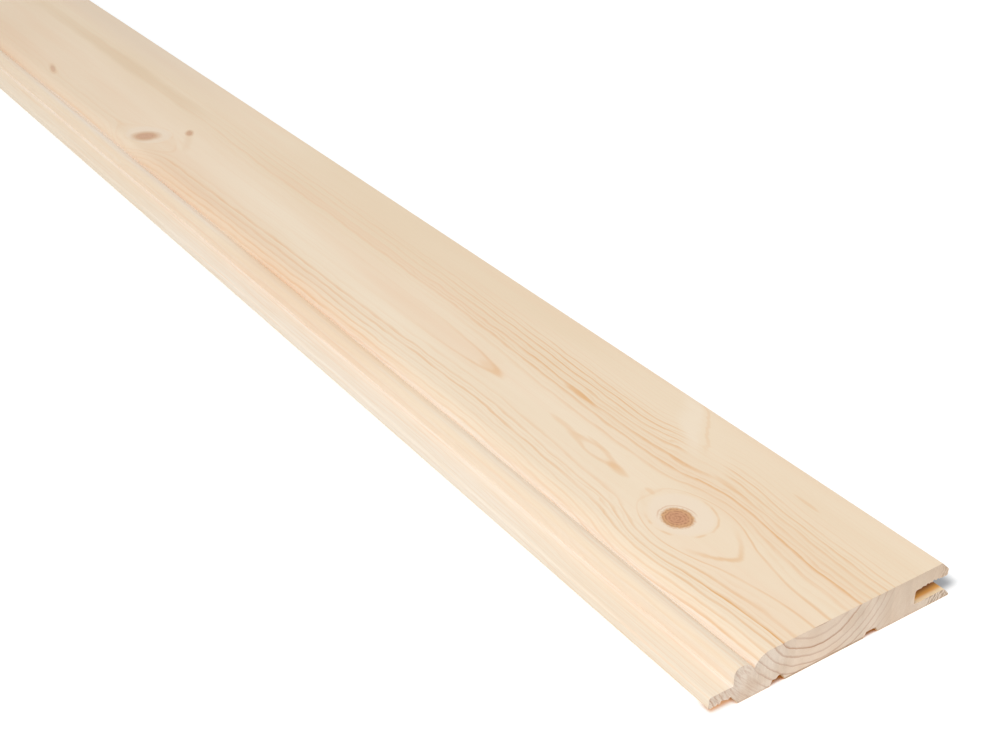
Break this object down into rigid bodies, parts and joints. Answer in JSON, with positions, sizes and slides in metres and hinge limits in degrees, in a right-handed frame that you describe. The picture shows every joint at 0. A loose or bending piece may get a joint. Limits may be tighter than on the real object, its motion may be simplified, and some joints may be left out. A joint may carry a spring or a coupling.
{
  "type": "tongue and groove board",
  "caption": "Beaded softwood lining board with a tongue along one edge, a groove along the other and relief grooves along its back, for joining into panelling.",
  "frame": {"origin": "middle of the board's length and of its overall width, on the plane of its back", "axes": "+X across the board from the tongue to the groove, +Y along its length, +Z from its back to its beaded face"},
  "size_m": [0.095, 0.9, 0.014],
  "materials": {
    "pine": "planed, untreated"
  },
  "bodies": {
    "root": {"board": "pine"}
  },
  "joints": []
}
